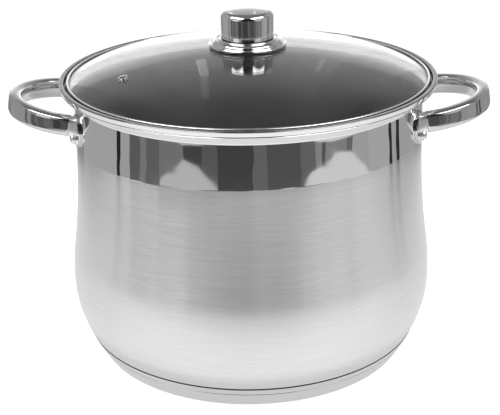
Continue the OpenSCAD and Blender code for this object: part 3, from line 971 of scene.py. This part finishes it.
# Pale sheets beyond the table that the neck mirrors, as (x, y) points
left_sheet = [
    (-0.4, -0.3), (-0.484, -0.368), (-0.486, -0.43), (-0.443, -0.497), (-0.427, -0.551), (-0.325, -0.591),
    (-0.253, -0.586), (-0.186, -0.583), (-0.16, -0.49),
]
right_sheet = [
    (0.26, -0.46), (0.306, -0.523), (0.366, -0.53), (0.433, -0.515), (0.477, -0.49), (0.538, -0.453),
    (0.572, -0.413), (0.603, -0.347), (0.61, -0.27), (0.596, -0.218), (0.577, -0.162), (0.54, -0.15),
]
left_sheet_shade = 0.54
right_sheet_shade = 0.72
# Falloff of the table from the front to the back, as (y, shade)
table_fall = [(-0.6, 1.1), (-0.16, 1.1), (-0.08, 1.0), (0.0, 0.94), (0.08, 0.9), (0.2, 0.86), (1.2, 0.86)]
# Darker round of the table under the pot
shadow_r = 0.155
shadow_shade = 0.8
room_r = 2.4
room_h = 2.6
# Falloff of the back wall with height, in its middle and to both sides
back_fall = [
    (0.0, 1.35), (0.8, 1.35), (0.9, 1.0), (1.08, 0.76), (1.17, 0.62), (1.37, 0.57), (1.64, 0.48), (1.99, 0.4),
    (2.26, 0.33), (2.49, 0.26), (2.6, 0.23),
]
left_fall = [
    (0.0, 1.35), (0.8, 1.3), (0.9, 1.0), (1.06, 0.84), (1.12, 0.66), (1.17, 0.55), (1.5, 0.48), (1.8, 0.4),
    (2.0, 0.32), (2.3, 0.26), (2.6, 0.24),
]
right_fall = [
    (0.0, 1.35), (0.8, 1.2), (0.9, 0.9), (1.06, 0.74), (1.12, 0.6), (1.17, 0.5), (1.5, 0.46), (1.8, 0.38),
    (2.0, 0.3), (2.3, 0.24), (2.6, 0.2),
]
end_fall = [
    (0.0, 1.0), (0.6, 0.95), (0.74, 0.82), (0.9, 0.7), (1.06, 0.6), (1.12, 0.48), (1.5, 0.44), (1.8, 0.38),
    (2.0, 0.3), (2.3, 0.24), (2.6, 0.2),
]
# Falloff of the front walls with height, pale at the foot
left_front_fall = [(0.0, 1.1), (0.55, 1.1), (0.9, 0.4), (1.6, 0.25), (2.6, 0.2)]
right_front_fall = [(0.0, 0.75), (0.55, 0.75), (0.9, 0.4), (1.6, 0.25), (2.6, 0.2)]
# Pale strips in front of the back wall: turn and rise of the foot, turn and rise of the head, width, all in
# degrees, with turns to the right of the back, and the shade
strips = [
    (-6.6, 23, -7.2, 33, 1.3, 1.25), (-7.3, 24, -7.9, 32, 0.2, 2.0), (-7.5, 33, -8.9, 43, 1.4, 0.65),
    (3.0, 24, 3.5, 33, 0.9, 0.95), (10.3, 21, 11.0, 30, 0.8, 0.9),
]
strip_r = 2.3
# Sectors of the room: start and end in degrees to the right of the front, shade of the floor, and of the wall
room_parts = [
    (-180, -167, 1.0, back_fall), (-167, -155, 1.0, left_fall), (-155, -145, 1.0, end_fall),
    (-145, -125, 0.3, 0.4), (-125, -85, 0.42, 0.42), (-85, -82, 0.02, 0.1), (-82, -74, 0.4, 0.4),
    (-74, -66.5, 0.12, 0.38), (-66.5, -62, 0.21, 0.38), (-62, -53, 0.13, left_front_fall),
    (-53, -38, 0.19, left_front_fall), (-38, -27, 0.06, 0.45), (-27, -18, 0.11, 0.1),
    (-18, 2, 0.06, 0.02), (2, 10, 0.14, 0.04), (10, 29, 0.09, 0.02), (29, 38, 0.14, 0.5),
    (38, 42, 0.26, right_front_fall), (42, 44, 0.09, right_front_fall), (44, 58, 0.24, right_front_fall),
    (58, 62, 0.15, 0.5), (62, 74, 0.4, 0.4), (74, 92, 0.44, 0.44), (92, 94.6, 0.03, 0.1),
    (94.6, 99, 0.4, 0.4), (99, 102.5, 0.03, 0.1), (102.5, 125, 0.4, 0.4), (125, 145, 0.35, 0.4),
    (145, 159, 1.0, end_fall), (159, 167, 1.0, right_fall), (167, 180, 1.0, back_fall),
]
ceiling_shade = 0.2


def between(stops, place):
    """Value at a place between stops, on straight lines."""
    for (a, low), (b, high) in zip(stops, stops[1:]):
        if a <= place <= b:
            return low + (high - low) * (place - a) / (b - a)


def way_to(turn):
    """Level direction at an angle from the front, in degrees to the right."""
    return Vector((math.sin(math.radians(turn)), -math.cos(math.radians(turn)), 0))


def make_room():
    lift = Vector((0, 0, card_lift))
    ceiling = []
    for number, (start, end, floor_shade, wall_shade) in enumerate(room_parts):
        steps = max(1, round((end - start) / 5))
        turns = [start + (end - start) * i / steps for i in range(steps + 1)]
        ways = [way_to(t) for t in turns]
        near = [way * between(table_reach, t) + lift for way, t in zip(ways, turns)]
        far = [way * room_r + lift for way in ways]
        high = [way * room_r + Vector((0, 0, room_h)) for way in ways]
        for a, b, c, d in zip(near, near[1:], far[1:], far):
            card("room_floor_%d" % number, [a, b, c, d], floor_shade)
        for a, b, c, d in zip(far, far[1:], high[1:], high):
            card("room_wall_%d" % number, [a, b, c, d], wall_shade, True)
        ceiling += high[:-1]
    card("room_ceiling", ceiling, ceiling_shade, True)
    turns = range(-180, 180, 6)
    card("table_top", [way_to(t) * between(table_reach, t) + lift * 0.6 for t in turns], table_fall, axis=1)
    card("table_shadow", [way_to(t) * shadow_r + lift * 0.9 for t in turns], shadow_shade)
    for name, sheet, shade in (
        ("left_sheet", left_sheet, left_sheet_shade), ("right_sheet", right_sheet, right_sheet_shade),
    ):
        card(name, [(x, y, 2 * card_lift) for x, y in sheet], shade)


def make_strips():
    for foot_turn, foot_rise, head_turn, head_rise, width, shade in strips:
        corners = [
            (foot_turn - width / 2, foot_rise), (foot_turn + width / 2, foot_rise),
            (head_turn + width / 2, head_rise), (head_turn - width / 2, head_rise),
        ]
        card("pale_strip", [
            way_to(180 - turn) * strip_r + Vector((0, 0, dome_z + strip_r * math.tan(math.radians(rise))))
            for turn, rise in corners
        ], shade)


def make_lamp(name, place, aim, size, watts):
    bpy.ops.object.light_add(type="AREA", location=place)
    lamp = bpy.context.object
    lamp.name = name
    lamp.data.shape = "RECTANGLE"
    lamp.data.size = size[0]
    lamp.data.size_y = size[1]
    lamp.data.energy = watts
    lamp.rotation_euler = (Vector(aim) - Vector(place)).to_track_quat("-Z", "Y").to_euler()
    lamp.visible_camera = False
    lamp.visible_transmission = False


def make_world():
    world = bpy.data.worlds.new("white_surroundings")
    bpy.context.scene.world = world
    finish = Finish(world)
    bright = finish.node("ShaderNodeClamp", inputs={"Value": seen_white(finish)})
    strength = sky_dim + bright * (1 - sky_dim)
    sky = finish.node(
        "ShaderNodeBackground", inputs={"Color": (1.0, 1.0, 1.0, 1.0), "Strength": strength})
    finish.node("ShaderNodeOutputWorld", inputs={"Surface": sky})


make_floor()
make_room()
make_strips()
make_world()
for name, side in (("left_softbox", -0.9), ("right_softbox", 0.95)):
    make_lamp(name, place=(side, -0.7, 1.35), aim=(0, 0, 0.1), size=(1.5, 0.6), watts=14)
bpy.context.scene.view_settings.view_transform = "Standard"
